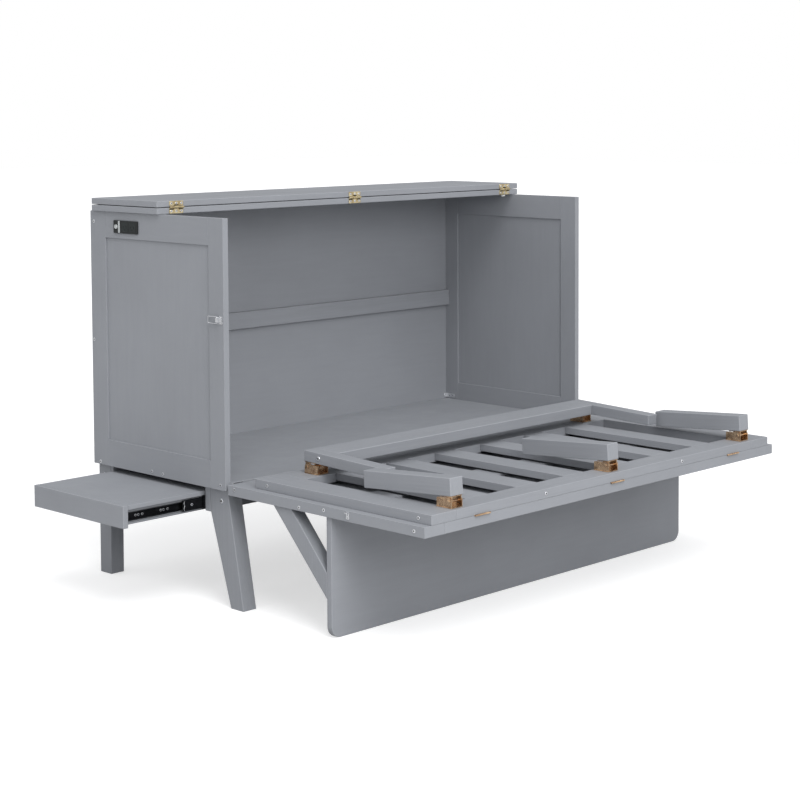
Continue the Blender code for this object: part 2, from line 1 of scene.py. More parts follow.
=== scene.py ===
"""The looks of the cabinet bed: painted boards, brass hinges, slides, latches and the outlet."""

import json
from math import atan2, cos, pi, radians, sin

import bmesh
import bpy
from mathutils import Matrix, Vector


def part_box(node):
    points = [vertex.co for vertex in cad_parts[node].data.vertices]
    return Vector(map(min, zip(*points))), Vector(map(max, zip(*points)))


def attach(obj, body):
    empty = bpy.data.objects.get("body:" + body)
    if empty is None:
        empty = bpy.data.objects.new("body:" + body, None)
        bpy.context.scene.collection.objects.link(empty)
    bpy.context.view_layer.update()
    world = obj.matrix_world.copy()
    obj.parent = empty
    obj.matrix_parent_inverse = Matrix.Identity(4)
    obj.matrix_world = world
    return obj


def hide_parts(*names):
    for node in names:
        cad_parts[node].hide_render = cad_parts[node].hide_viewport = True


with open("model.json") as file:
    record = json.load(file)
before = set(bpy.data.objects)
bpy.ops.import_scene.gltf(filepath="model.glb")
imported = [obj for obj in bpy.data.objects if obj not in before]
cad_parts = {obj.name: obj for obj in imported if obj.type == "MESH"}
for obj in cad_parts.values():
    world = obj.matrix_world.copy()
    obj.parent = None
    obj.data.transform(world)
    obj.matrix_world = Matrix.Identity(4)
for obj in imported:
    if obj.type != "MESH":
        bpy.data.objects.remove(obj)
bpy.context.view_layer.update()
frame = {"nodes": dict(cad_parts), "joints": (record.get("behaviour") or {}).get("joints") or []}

JOINTS = {joint["name"]: joint for joint in frame["joints"]}

# Sizes that the solids' boxes don't tell, in metres
BOARD_EDGE = 0.0012  # rounding on the boards' edges
TOP_EDGE = 0.0018
LEG_EDGE = 0.0018
BRACE_EDGE = 0.0015
FOLDING_EDGE = 0.002
JOINT_EDGE = 0.0006  # the fine groove where two boards meet
LID_GAP = 0.0007  # taken off the lid and the top where they lie on each other
TONGUE = 0.004  # a field's reach into the frame around it
SIDE_STILES = (0.061, 0.070)  # front, rear
SIDE_RAILS = (0.0755, 0.0737)  # bottom, top
SIDE_SETBACK = 0.0045
PANEL_STILE = 0.070
PANEL_MID_RAIL = (0.2965, 0.3845)  # from the panel's outer edge
PANEL_FIELD = (0.003, 0.020)  # from the panel's underside
PIVOT_NOTCH = (0.0065, 0.0057)  # half width along x, reach past the pivot
LEAF_POCKET = (0.0019, 0.001)  # depth into its board, reach past the joint
SECTION_STILE = 0.087
SECTION_OUTER_RAIL = 0.0705
SECTION_FREE_RAIL = 0.100
SLATS = 6
SLAT_WIDTH = 0.080
SLAT_PITCH = 0.1905
SLAT_THICKNESS = 0.020
SEAM = 0.0003  # between two boards that meet
SHEET = 0.0012  # steel of the hinges, slides and brackets
LEG_BACKSET = 0.0115  # folding legs, from the pivot to the near end
LEG_TIP = 0.291  # and to the far end
MID_LEG = 0.045
MID_LEG_RISE = 0.0135
END_ARM = 0.042
END_RISE = 0.0155
END_THICKNESS = 0.030
END_BOARD = 0.088
BRACKET_PIN = 0.003
LUG_HALF = 0.0195
LUG_PLATE = 0.002
LUG_ROUND = 0.009
CHEEK = (0.0175, 0.0195)  # a bracket's cheek, from its middle
SHELF_SKIN = 0.012
SHELF_FLOOR = 0.006
SHELF_OVERHANG = 0.0075
KNUCKLE = 0.0024
LEAF_FACE = 0.00035  # from a section hinge's axis to its leaves' facing sides
LATCH_PLATE = 0.0012
BOW_WIRE = 0.0011
PROUD = 0.0001  # a screw head's foot, off the face it sits on

# Screws: distances from the corner each line names
SIDE_SCREWS = ((0.017, 0.030), (0.010, 0.368), (0.032, 0.717), (0.269, 0.714), (0.318, 0.715),
               (0.564, 0.712))  # from the side's rear and top
PANEL_SCREWS = ((0.026, 0.018), (0.280, 0.009), (0.372, 0.016), (0.689, 0.013))  # rear, underside
SECTION_SCREWS = (0.048, 0.044)  # from the rear, from the front
SECTION_SCREW_X = 0.422  # from either end
SLIDE_SCREWS = (0.027, 0.036, 0.049, 0.110, 0.119, 0.133, 0.222, 0.300)
BACK_SCREW_INSET = 0.012
BACK_SCREW_ROWS = 5
BACK_SCREW_COLUMNS = 7
BALLS = 12
BALL_PITCH = 0.0065
BALL_RADIUS = 0.0014

# The outlet in the left side
OUTLET_LIP = 0.0035
BUTTON_POCKET = 0.0072  # half its width
BUTTON_ROOM = 0.0019  # behind the button, for its travel
OUTLET_FACES = (("front", 0.0225), ("rear", 0.0565))  # their middles, from the front end
FACE_HALF = (0.0145, 0.0125)
FACE_PROUD = 0.0006

# Light, in linear units
PAINT = (0.262, 0.272, 0.293)
DOME = 0.92
DOME_DIM = 0.40  # the dome's share of that on its dim side
DIM_SIDE = (0.69, 0.72, 0.08)  # the dome is dimmer towards this side, behind the bed
FLOOR_GLOW = 0.58
LIGHTS = (
    ("key", "SUN", 1.45, radians(30), (-1.3, -2.4, 4.6), (0.0, 0.0, 0.4)),
    ("front_box", "AREA", 62.0, 2.0, (-1.6, -3.5, 2.1), (0.1, 0.2, 0.7)),
)

# Camera, in metres and radians
SENSOR = 36.0
LENS = 83.24
SHIFT = (-0.033, -0.216)
CAMERA_PLACE = (-3.7293, -3.6768, 1.3422)
YAW, PITCH, ROLL = 0.8026, 0.0664, -0.0042


# ---- materials

def new_material(name):
    material = bpy.data.materials.new(name)
    material.use_nodes = True
    tree = material.node_tree
    return material, tree, tree.nodes["Principled BSDF"]


def wire(tree, node, inputs):
    """Links the inputs that are given a socket, and sets the others."""
    for key, value in inputs.items():
        if isinstance(value, bpy.types.NodeSocket):
            tree.links.new(value, node.inputs[key])
        else:
            node.inputs[key].default_value = value


def add(tree, kind, inputs=(), **settings):
    node = tree.nodes.new(kind)
    for key, value in settings.items():
        setattr(node, key, value)
    wire(tree, node, dict(inputs))
    return node


def piece_coordinates(tree, stretch=(1.0, 1.0, 1.0)):
    """Coordinates in metres on the piece itself, shifted from piece to piece."""
    place = add(tree, "ShaderNodeTexCoord").outputs["Object"]
    chance = add(tree, "ShaderNodeObjectInfo").outputs["Random"]
    shift = add(tree, "ShaderNodeVectorMath", {0: (13.0, 7.0, 29.0), "Scale": chance},
                operation="SCALE").outputs["Vector"]
    moved = add(tree, "ShaderNodeVectorMath", {0: place, 1: shift}).outputs["Vector"]
    return add(tree, "ShaderNodeMapping", {"Vector": moved, "Scale": stretch}).outputs["Vector"]


def noise(tree, vector, scale, detail=3.0, roughness=0.55, distortion=0.0):
    return add(tree, "ShaderNodeTexNoise", {
        "Vector": vector, "Scale": scale, "Detail": detail, "Roughness": roughness,
        "Distortion": distortion}).outputs["Fac"]


def ramp(tree, factor, *stops):
    """Colours along a factor; a stop's colour may be one number for a grey."""
    node = add(tree, "ShaderNodeValToRGB", {"Fac": factor})
    elements = node.color_ramp.elements
    while len(elements) < len(stops):
        elements.new(0.5)
    for element, (position, colour) in zip(elements, stops):
        element.position = position
        element.color = (*(colour if isinstance(colour, tuple) else (colour,) * 3), 1.0)
    return node.outputs["Color"]


def spread(tree, factor, low, high):
    return add(tree, "ShaderNodeMapRange", {"Value": factor, "From Min": 0.3, "From Max": 0.7,
                                            "To Min": low, "To Max": high}).outputs["Result"]


def mix(tree, factor, first, second, blend="MIX"):
    node = add(tree, "ShaderNodeMix", data_type="RGBA", blend_type=blend)
    for socket, value in ((node.inputs["Factor"], factor), (node.inputs["A"], first),
                          (node.inputs["B"], second)):
        if isinstance(value, bpy.types.NodeSocket):
            tree.links.new(value, socket)
        else:
            socket.default_value = value if socket.name == "Factor" else (*value, 1.0)
    return node.outputs["Result"]


def bump(tree, height, distance, strength=1.0, normal=None):
    inputs = {"Height": height, "Distance": distance, "Strength": strength}
    if normal is not None:
        inputs["Normal"] = normal
    return add(tree, "ShaderNodeBump", inputs).outputs["Normal"]


def plug(tree, shader, **sockets):
    wire(tree, shader, {name.replace("_", " "): value for name, value in sockets.items()})


def tint(colour, factor):
    return tuple(channel * factor for channel in colour)


def paint(name, grain, board):
    """Sprayed satin paint; the grain under it shows faintly along one axis of the piece."""
    material, tree, shader = new_material(name)
    along, across = (6.0, 60.0) if board else (5.0, 140.0)
    stretch = tuple(along if axis == grain else across for axis in "XYZ")
    plain = piece_coordinates(tree)
    streaks = noise(tree, piece_coordinates(tree, stretch), 1.0, 5.0, 0.6, 0.4)
    clouds = noise(tree, plain, 2.6, 4.0)
    smudges = noise(tree, plain, 11.0, 5.0, 0.65)
    peel = noise(tree, plain, 420.0, 2.0)
    dust = noise(tree, plain, 1500.0, 1.0)
    tone = ramp(tree, clouds, (0.32, tint(PAINT, 0.955)), (0.70, tint(PAINT, 1.045)))
    veined = mix(tree, 0.10 if board else 0.20, tone,
                 ramp(tree, streaks, (0.30, 0.60), (0.70, 1.0)),
                 "MULTIPLY")
    specks = ramp(tree, dust, (0.70, 0.0), (0.80, 1.0))
    colour = mix(tree, specks, veined, tint(PAINT, 1.16))
    relief = bump(tree, streaks, 0.00018 if board else 0.0004, 0.5)
    relief = bump(tree, peel, 0.00009, 0.6, relief)
    plug(tree, shader, Base_Color=colour, Roughness=spread(tree, smudges, 0.46, 0.60),
         Normal=relief, Specular_IOR_Level=0.34)
    return material


def worn_edge():
    """The thin paint on a board's rounded edge, rubbed through to the primer here and there."""
    material, tree, shader = new_material("paint_edge")
    plain = piece_coordinates(tree)
    rubbed = noise(tree, plain, 34.0, 6.0, 0.7)
    chips = noise(tree, plain, 210.0, 4.0, 0.7)
    worn = ramp(tree, rubbed, (0.56, 0.0), (0.72, 0.55))
    thin = mix(tree, worn, tint(PAINT, 1.02), tint(PAINT, 1.22))
    bare = ramp(tree, chips, (0.73, 0.0), (0.76, 0.8))
    colour = mix(tree, bare, thin, (0.52, 0.50, 0.46))
    plug(tree, shader, Base_Color=colour, Roughness=spread(tree, chips, 0.36, 0.52),
         Normal=bump(tree, chips, 0.00012, 0.5))
    return material


def metal(name, light, dark, low, high, relief=0.00003):
    """Metal brushed along the piece's X, with a stain over it."""
    material, tree, shader = new_material(name)
    plain = piece_coordinates(tree)
    lines = noise(tree, piece_coordinates(tree, (12.0, 900.0, 900.0)), 1.0, 4.0, 0.6)
    stain = noise(tree, plain, 70.0, 5.0, 0.65)
    colour = mix(tree, 0.25, ramp(tree, stain, (0.32, dark), (0.66, light)),
                 ramp(tree, lines, (0.3, dark), (0.7, light)))
    plug(tree, shader, Base_Color=colour, Roughness=spread(tree, lines, low, high),
         Normal=bump(tree, lines, relief, 0.6), Metallic=1.0)
    return material


def plastic(name, colour, low, high):
    material, tree, shader = new_material(name)
    plain = piece_coordinates(tree)
    spark = noise(tree, plain, 2600.0, 2.0)
    rubbed = noise(tree, plain, 45.0, 5.0, 0.6)
    tone = ramp(tree, rubbed, (0.35, tint(colour, 0.86)), (0.68, tint(colour, 1.18)))
    plug(tree, shader, Base_Color=tone, Roughness=spread(tree, rubbed, low, high),
         Normal=bump(tree, spark, 0.00005, 0.5), Specular_IOR_Level=0.30)
    return material


# Light tone, dark tone, lowest and highest roughness, and the relief where it isn't the usual one
METALS = {
    "brass": ((0.92, 0.80, 0.50), (0.34, 0.23, 0.10), 0.16, 0.34),
    "copper": ((0.92, 0.66, 0.42), (0.26, 0.145, 0.085), 0.14, 0.34, 0.00006),
    "chrome": ((0.80, 0.81, 0.83), (0.60, 0.61, 0.63), 0.08, 0.18),
    "zinc": ((0.90, 0.91, 0.92), (0.62, 0.63, 0.66), 0.22, 0.40),
    "black_zinc": ((0.045, 0.046, 0.050), (0.018, 0.018, 0.021), 0.26, 0.42),
}
PLASTICS = {
    "socket_black": ((0.008, 0.010, 0.010), 0.30, 0.44),
    "socket_face": ((0.012, 0.016, 0.016), 0.34, 0.50),
    "socket_grey": ((0.42, 0.44, 0.44), 0.32, 0.46),
    "cap_white": ((0.72, 0.72, 0.70), 0.35, 0.50),
    # not a plastic: near-black painted shade for the insides of screw recesses and sockets
    "bore_dark": ((0.006, 0.006, 0.007), 0.55, 0.75),
}
MATERIALS = {"edge": worn_edge()}
MATERIALS.update({name: metal(name, *look) for name, look in METALS.items()})
MATERIALS.update({name: plastic(name, *look) for name, look in PLASTICS.items()})
for axis in "XYZ":
    MATERIALS[f"board_{axis}"] = paint(f"paint_board_{axis}", axis, True)
    MATERIALS[f"wood_{axis}"] = paint(f"paint_wood_{axis}", axis, False)


# ---- making pieces

def link(name, data):
    """A new object in the scene."""
    thing = bpy.data.objects.new(name, data)
    bpy.context.scene.collection.objects.link(thing)
    return thing


def evaluated_mesh(thing):
    evaluated = thing.evaluated_get(bpy.context.evaluated_depsgraph_get())
    return bpy.data.meshes.new_from_object(evaluated)


def settle(name, shape, body, materials, nodes=(), tilt=None, smooth=None, weigh=False):
    """A bmesh in the row frame as a piece that rides on a body, its origin at its middle."""
    low = Vector([min(v.co[i] for v in shape.verts) for i in range(3)])
    high = Vector([max(v.co[i] for v in shape.verts) for i in range(3)])
    centre = (low + high) / 2
    bmesh.ops.translate(shape, verts=shape.verts, vec=-centre)
    mesh = bpy.data.meshes.new(name)
    shape.to_mesh(mesh)
    shape.free()
    # metal pieces take near-black painted shade as slot 1, for the insides of their screw recesses
    if len(materials) == 1 and materials[0] in METALS:
        materials = [materials[0], "bore_dark"]
    for material in materials:
        mesh.materials.append(MATERIALS[material])
    if smooth or weigh:
        mesh.shade_smooth()
    if smooth:
        mesh.set_sharp_from_angle(angle=radians(smooth))
    piece = link(name, mesh)
    if tilt is None:
        piece.location = centre
    else:
        pivot, angle = tilt
        piece.location = pivot + Matrix.Rotation(angle, 3, "X") @ (centre - pivot)
        piece.rotation_euler = (angle, 0.0, 0.0)
    if weigh:
        modifier = piece.modifiers.new("even_faces", "WEIGHTED_NORMAL")
        modifier.weight = 100
    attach(piece, body)
    if nodes:
        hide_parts(*nodes)
    return piece


def round_edges(shape, edge, segments=3):
    sharp = [e for e in shape.edges if len(e.link_faces) == 2 and e.calc_face_angle() > radians(30)]
    bmesh.ops.bevel(shape, geom=sharp, offset=edge, segments=segments, profile=0.5,
                    affect="EDGES", material=1, clamp_overlap=True)


def cube(shape, low, high):
    size = Vector(high) - Vector(low)
    middle = (Vector(high) + Vector(low)) / 2
    matrix = Matrix.Translation(middle) @ Matrix.Diagonal((*size, 1.0))
    return bmesh.ops.create_cube(shape, size=1.0, matrix=matrix)["verts"]


def grain_of(low, high):
    size = [b - a for a, b in zip(low, high)]
    return "XYZ"[size.index(max(size))]


def board(name, body, low, high, slot="painted_board", nodes=(), edge=BOARD_EDGE, tilt=None,
          grain=None):
    """A rounded board between two corners."""
    shape = bmesh.new()
    cube(shape, low, high)
    round_edges(shape, edge)
    kind = "board" if slot == "painted_board" else "wood"
    finish = f"{kind}_{grain or grain_of(low, high)}"
    return settle(name, shape, body, [finish, "edge"], nodes, tilt, weigh=True)


def prism(name, body, outline, plane, span, slot, finish, nodes=(), edge=BOARD_EDGE):
    """A rounded solid with its outline in the "yz" or "xz" plane."""
    shape = bmesh.new()
    spots = []
    for a, b in outline:
        spots.append((span[0], a, b) if plane == "yz" else (a, span[0], b))
    face = shape.faces.new([shape.verts.new(spot) for spot in spots])
    depth = span[1] - span[0]
    move = Vector((depth, 0, 0)) if plane == "yz" else Vector((0, depth, 0))
    top = bmesh.ops.extrude_face_region(shape, geom=[face])["geom"]
    bmesh.ops.translate(shape, verts=[v for v in top if isinstance(v, bmesh.types.BMVert)], vec=move)
    bmesh.ops.recalc_face_normals(shape, faces=shape.faces)
    if edge:
        round_edges(shape, edge)
    materials = [finish, "edge"] if slot.startswith("painted") else [finish, finish]
    return settle(name, shape, body, materials, nodes, weigh=True)


def carve(piece, boxes):
    """Cuts boxes, given in the row frame, out of a piece."""
    shape = bmesh.new()
    for low, high in boxes:
        cube(shape, low, high)
    mesh = bpy.data.meshes.new("cutter")
    shape.to_mesh(mesh)
    shape.free()
    cutter = link("cutter", mesh)
    kept = list(piece.modifiers)
    for other in kept:
        other.show_viewport = False
    modifier = piece.modifiers.new("carve", "BOOLEAN")
    modifier.operation = "DIFFERENCE"
    modifier.object = cutter
    old, piece.data = piece.data, evaluated_mesh(piece)
    piece.modifiers.remove(modifier)
    for other in kept:
        other.show_viewport = True
    bpy.data.meshes.remove(old)
    bpy.data.objects.remove(cutter)


def rings_around(shape, centre, axis, steps, reach, segments=24):
    """Rings of points around an axis, one for each step: its place along, then reach's values."""
    axis = Vector(axis).normalized()
    side = axis.orthogonal().normalized()
    other = axis.cross(side)
    rings = []
    for along, *values in steps:
        ring = []
        for i in range(segments):
            angle = 2 * pi * i / segments
            ring.append(shape.verts.new(
                Vector(centre) + axis * along
                + (side * cos(angle) + other * sin(angle)) * reach(angle, *values)))
        rings.append(ring)
    return rings


def turned(shape, centre, axis, profile, segments=24):
    """A turned form from (along, radius) points; along runs out of the surface on the axis."""
    skin(shape, rings_around(shape, centre, axis, profile, lambda _, radius: radius, segments))


def skin(shape, rings, recess=None):
    """Faces between rings of points and a cap on each end; from the recess ring on, slot 1, which on metal
    pieces is the near-black painted shade of a screw's recess.
    """
    for count, (lower, upper) in enumerate(zip(rings, rings[1:])):
        for i in range(len(lower)):
            j = (i + 1) % len(lower)
            face = shape.faces.new((lower[i], lower[j], upper[j], upper[i]))
            face.material_index = int(recess is not None and count >= recess)
    shape.faces.new(reversed(rings[0]))
    cap = shape.faces.new(rings[-1])
    cap.material_index = int(recess is not None)


def hexagon(angle):
    """The distance from a unit hexagon's middle to its side, along an angle."""
    sector = pi / 3
    return cos(sector / 2) / cos(angle % sector - sector / 2)


def socket_head(shape, centre, axis, radius, height, dome=0.0):
    """A screw head with a hexagon socket."""
    socket = radius * 0.48
    steps = [(0.0, radius, False), (height * 0.55, radius, False), (height * 0.9, radius * 0.94, False),
             (height + dome * 0.6, radius * 0.75, False), (height + dome, socket * 1.12, True),
             (height + dome - 0.0001, socket, True), (height * 0.25, socket * 0.96, True)]

    def reach(angle, size, hexed):
        return size * (hexagon(angle) if hexed else 1.0)

    skin(shape, rings_around(shape, centre, axis, steps, reach), 5)


def cross_head(shape, centre, axis, radius, height):
    """A countersunk screw head with a cross recess."""
    steps = [(0.0, 1.0, 0.0), (height * 0.8, 1.0, 0.0), (height, 0.93, 0.0), (height * 0.96, 0.62, 0.55),
             (height * 0.35, 0.50, 0.70)]

    def reach(angle, size, cross):
        return radius * size * (1 - cross + cross * abs(cos(2 * angle)) ** 3)

    skin(shape, rings_around(shape, centre, axis, steps, reach), 3)


def fitting(name, shape, body, slot, material, *nodes, tilt=None):
    """A piece of hardware in one material, its sharp edges kept; a metal piece also gets near-black painted
    shade in its screw recesses.
    """
    return settle(name, shape, body, [material], nodes, tilt, smooth=35)


def screws(name, body, spots, draw, *sizes):
    """One piece made of the same screw head at several (centre, axis) spots."""
    shape = bmesh.new()
    for centre, axis in spots:
        draw(shape, centre, axis, *sizes)
    settle(name, shape, body, ["zinc"], smooth=30)


def both_ends(low, high, y, z):
    """The same spot on a box's left and right face, looking out."""
    return [((low - PROUD, y, z), (-1, 0, 0)), ((high + PROUD, y, z), (1, 0, 0))]


def rounded_outline(low, high, radius, steps=5):
    """A rectangle's outline with round corners, from two opposite corners."""
    corners = ((high[0] - radius, high[1] - radius, 0), (low[0] + radius, high[1] - radius, 90),
               (low[0] + radius, low[1] + radius, 180), (high[0] - radius, low[1] + radius, 270))
    points = []
    for a, b, start in corners:
        for i in range(steps + 1):
            angle = radians(start + 90 * i / steps)
            points.append((a + radius * cos(angle), b + radius * sin(angle)))
    return points


def slab(shape, outline, axis, span, edge=0.0):
    """An outline extruded along an axis ("x", "y" or "z") between two places."""
    def spot(a, b, along):
        return {"x": (along, a, b), "y": (a, along, b), "z": (a, b, along)}[axis]

    rings = []
    middle = Vector((sum(p[0] for p in outline) / len(outline),
                     sum(p[1] for p in outline) / len(outline)))
    steps = [(span[0], edge), (span[0] + edge, 0.0), (span[1] - edge, 0.0), (span[1], edge)]
    if not edge:
        steps = [(span[0], 0.0), (span[1], 0.0)]
    for along, inset in steps:
        ring = []
        for a, b in outline:
            away = Vector((a, b)) - middle
            point = middle + away * (1 - inset / max(away.length, 1e-6))
            ring.append(shape.verts.new(spot(point.x, point.y, along)))
        rings.append(ring)
    before = set(shape.faces)
    skin(shape, rings)
    bmesh.ops.recalc_face_normals(shape, faces=[f for f in shape.faces if f not in before])


def plate(shape, low, high, radius, axis, span, edge=0.0, steps=5):
    """A slab with a round-cornered rectangle as its outline."""
    slab(shape, rounded_outline(low, high, radius, steps), axis, span, edge)


def tube(name, body, material, route, radius, bend=0.0, nodes=()):
    """A round wire along a route, its corners rounded."""
    curve = bpy.data.curves.new(name, "CURVE")
    curve.dimensions = "3D"
    curve.bevel_depth = radius
    curve.bevel_resolution = 4
    curve.use_fill_caps = True
    points = rounded_route([Vector(p) for p in route], bend)
    spline = curve.splines.new("POLY")
    spline.points.add(len(points) - 1)
    for point, spot in zip(spline.points, points):
        point.co = (*spot, 1.0)
    holder = link("wire", curve)
    mesh = evaluated_mesh(holder)
    bpy.data.objects.remove(holder)
    shape = bmesh.new()
    shape.from_mesh(mesh)
    bpy.data.meshes.remove(mesh)
    bmesh.ops.remove_doubles(shape, verts=shape.verts, dist=0.00001)
    return settle(name, shape, body, [material], nodes, smooth=50)


def rounded_route(points, bend, steps=6):
    """The route with an arc in place of each corner."""
    if not bend:
        return points
    result = [points[0]]
    for before, corner, after in zip(points, points[1:], points[2:]):
        start = corner + (before - corner).normalized() * bend
        end = corner + (after - corner).normalized() * bend
        for i in range(steps + 1):
            t = i / steps
            result.append(start * (1 - t) ** 2 + corner * 2 * t * (1 - t) + end * t ** 2)
    result.append(points[-1])
    return result


LEFT_LOW, LEFT_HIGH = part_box("left_side_panel")
RIGHT_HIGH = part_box("right_side_panel")[1]
CENTRE_X = (LEFT_LOW.x + RIGHT_HIGH.x) / 2
SPOTS = ("left", "middle", "right")


def at(x, y, z):
    return Vector((x, y, z))


def place_of(joint):
    return Vector(JOINTS[joint]["pos_m"])


# ---- cabinet

def build_side(side):
    """Stiles, rails and a set-back field."""
    node = f"{side}_side_panel"
    low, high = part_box(node)
    front, rear = low.y + SIDE_STILES[0], high.y - SIDE_STILES[1]
    bottom, top = low.z + SIDE_RAILS[0], high.z - SIDE_RAILS[1]
    inside = (front + SEAM / 2, rear - SEAM / 2)
    for label, first, last in (
            ("stile_front", low, at(high.x, front - SEAM / 2, high.z)),
            ("stile_rear", at(low.x, rear + SEAM / 2, low.z), high),
            ("rail_top", at(low.x, inside[0], top), at(high.x, inside[1], high.z)),
            ("rail_bottom", at(low.x, inside[0], low.z), at(high.x, inside[1], bottom))):
        board(f"{side}_{label}", "cabinet", first, last, nodes=[node], edge=JOINT_EDGE)
    board(f"{side}_field", "cabinet",
          at(low.x + SIDE_SETBACK, front - TONGUE, bottom - TONGUE),
          at(high.x - SIDE_SETBACK, rear + TONGUE, top + TONGUE), nodes=[node],
          edge=JOINT_EDGE, grain="Z")


def plain_boards():
    """Boards that keep the shape of their solid, with rounded edges."""
    for node, kind in (("back_panel", "board"), ("back_mid_rail", "wood"),
                       ("cabinet_floor", "board"), ("top_board", "board"), ("front_apron", "wood"),
                       ("rear_apron", "wood"), ("lid_board", "board")):
        low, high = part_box(node)
        body, edge = "cabinet", BOARD_EDGE
        if node == "top_board":
            high.z -= LID_GAP
            edge = TOP_EDGE
        elif node == "lid_board":
            low.z += LID_GAP
            body, edge = "lid", TOP_EDGE
        board(f"{node}_look", body, low, high, f"painted_{kind}", [node], edge)


def outline_of(node, axis):
    """A prism's outline, read off the solid's face that looks along -axis, in order."""
    low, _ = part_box(node)
    index = "xyz".index(axis)
    others = [i for i in range(3) if i != index]
    points = []
    for vertex in frame["nodes"][node].data.vertices:
        if abs(vertex.co[index] - low[index]) < 0.0002:
            point = tuple(round(vertex.co[i], 5) for i in others)
            if point not in points:
                points.append(point)
    middle = [sum(p[i] for p in points) / len(points) for i in range(2)]
    return sorted(points, key=lambda p: atan2(p[1] - middle[1], p[0] - middle[0]))


def prisms():
    """The legs, braces and leg panel, with the outline of their solids."""
    legs = ("front_leg_left", "front_leg_right", "rear_leg_left", "rear_leg_right")
    braces = ("leg_brace_left", "leg_brace_right")
    for nodes, body, edge in ((legs, "cabinet", LEG_EDGE), (braces, "front_panel", BRACE_EDGE)):
        for node in nodes:
            low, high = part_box(node)
            prism(f"{node}_look", body, outline_of(node, "x"), "yz", (low.x, high.x),
                  "painted_wood", "wood_Z", [node], edge)
    low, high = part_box("leg_panel")
    prism("leg_panel_look", "front_panel", outline_of("leg_panel", "y"), "xz", (low.y, high.y),
          "painted_board", "board_X", ["leg_panel"], BRACE_EDGE)


def build_shelf():
    """A front board and a boxed shelf behind it."""
    low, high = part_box("shelf_front")
    board("shelf_front_look", "shelf", low, high, "painted_board", ["shelf_front"], BRACE_EDGE)
    low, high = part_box("shelf_body")
    under, lower = high.z - SHELF_SKIN, low.z + SHELF_FLOOR
    near, far = low.y + SHELF_OVERHANG, high.y - SHELF_OVERHANG
    end = high.x - SHELF_SKIN
    for label, first, last in (
            ("top", (low.x, low.y, under), (high.x, high.y, high.z)),
            ("bottom", (low.x, near, low.z), (high.x, far, lower)),
            ("wall_front", (low.x, near, lower + SEAM), (high.x, near + SHELF_SKIN, under - SEAM)),
            ("wall_rear", (low.x, far - SHELF_SKIN, lower + SEAM), (high.x, far, under - SEAM)),
            ("wall_end", (end, near + SHELF_SKIN + SEAM, lower + SEAM),
             (high.x, far - SHELF_SKIN - SEAM, under - SEAM))):
        board(f"shelf_{label}_look", "shelf", first, last, nodes=["shelf_body"], edge=JOINT_EDGE)


# ---- front panel and foot section

def framed(prefix, node, stile, rails, slot, edge):
    """Two stiles and the rails between them, on the body that has their solid's name."""
    low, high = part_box(node)
    left, right = low.x + stile, high.x - stile
    ends = {"stile_left": (low, at(left - SEAM / 2, high.y, high.z)),
            "stile_right": (at(right + SEAM / 2, low.y, low.z), high)}
    for label, front, rear in rails:
        ends[f"rail_{label}"] = (at(left + SEAM / 2, front, low.z), at(right - SEAM / 2, rear, high.z))
    return {label: board(f"{prefix}_{label}", node, *span, slot, [node], edge)
            for label, span in ends.items()}


def build_front_panel():
    """A frame and two fields, cut out for the pivots and the section's hinges."""
    low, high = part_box("front_panel")
    outer, middle, inner = ((low.y, low.y + PANEL_STILE),
                            (low.y + PANEL_MID_RAIL[0], low.y + PANEL_MID_RAIL[1]),
                            (high.y - PANEL_STILE, high.y))
    parts = framed("panel", "front_panel", PANEL_STILE,
                   (("outer", *outer), ("middle", *middle), ("inner", *inner)),
                   "painted_board", JOINT_EDGE)
    pivot = place_of("front_fold")
    half, reach = PIVOT_NOTCH
    for side in ("left", "right"):
        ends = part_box(f"pivot_bracket_{side}")
        x = (ends[0].x + ends[1].x) / 2
        carve(parts[f"stile_{side}"], [(at(x - half, pivot.y - reach, low.z - 0.005),
                                        at(x + half, high.y + 0.005, pivot.z + reach))])
    carve(parts["rail_outer"], leaf_pockets("panel_leaf"))
    for label, front, rear in (("outer", outer[1], middle[0]), ("inner", middle[1], inner[0])):
        board(f"panel_field_{label}", "front_panel",
              at(low.x + PANEL_STILE - TONGUE, front - TONGUE, low.z + PANEL_FIELD[0]),
              at(high.x - PANEL_STILE + TONGUE, rear + TONGUE, low.z + PANEL_FIELD[1]),
              nodes=["front_panel"], edge=JOINT_EDGE)


def leaf_pockets(leaf):
    """The shallow pockets for the section hinges' leaves, open to the joint between the boards."""
    boxes = []
    axis = place_of("section_unfold")
    below, above = LEAF_POCKET if leaf == "panel_leaf" else LEAF_POCKET[::-1]
    for label in SPOTS:
        low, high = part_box(f"section_hinge_{label}_{leaf}")
        boxes.append((at(low.x - SEAM, low.y - 0.001, axis.z - below),
                      at(high.x + SEAM, high.y + SEAM, axis.z + above)))
    return boxes


def build_foot_section():
    """A frame with slats that are thinner than it."""
    low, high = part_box("foot_section")
    front, rear = low.y + SECTION_OUTER_RAIL, high.y - SECTION_FREE_RAIL
    parts = framed("section", "foot_section", SECTION_STILE,
                   (("outer", low.y, front), ("free", rear, high.y)), "painted_wood", BOARD_EDGE)
    carve(parts["rail_outer"], leaf_pockets("section_leaf"))
    first = CENTRE_X - SLAT_PITCH * (SLATS - 1) / 2
    for i in range(SLATS):
        x = first + SLAT_PITCH * i
        board(f"section_slat_{i + 1}", "foot_section",
              at(x - SLAT_WIDTH / 2, front + SEAM / 2, high.z - SLAT_THICKNESS),
              at(x + SLAT_WIDTH / 2, rear - SEAM / 2, high.z), "painted_wood", ["foot_section"])


# ---- folding legs

def tilt_of(joint):
    """A folding leg's pivot and its slope at rest: the turn beyond a right angle that deploys it."""
    data = JOINTS[joint]
    slope = radians(abs(data["range_deg"][0]) - 90)
    return Vector(data["pos_m"]), -slope if data["axis"][0] < 0 else slope


def arc(pivot, radius, angles):
    """Points (y, z) on a circle around a pivot."""
    return [(pivot.y + radius * cos(radians(a)), pivot.z + radius * sin(radians(a))) for a in angles]


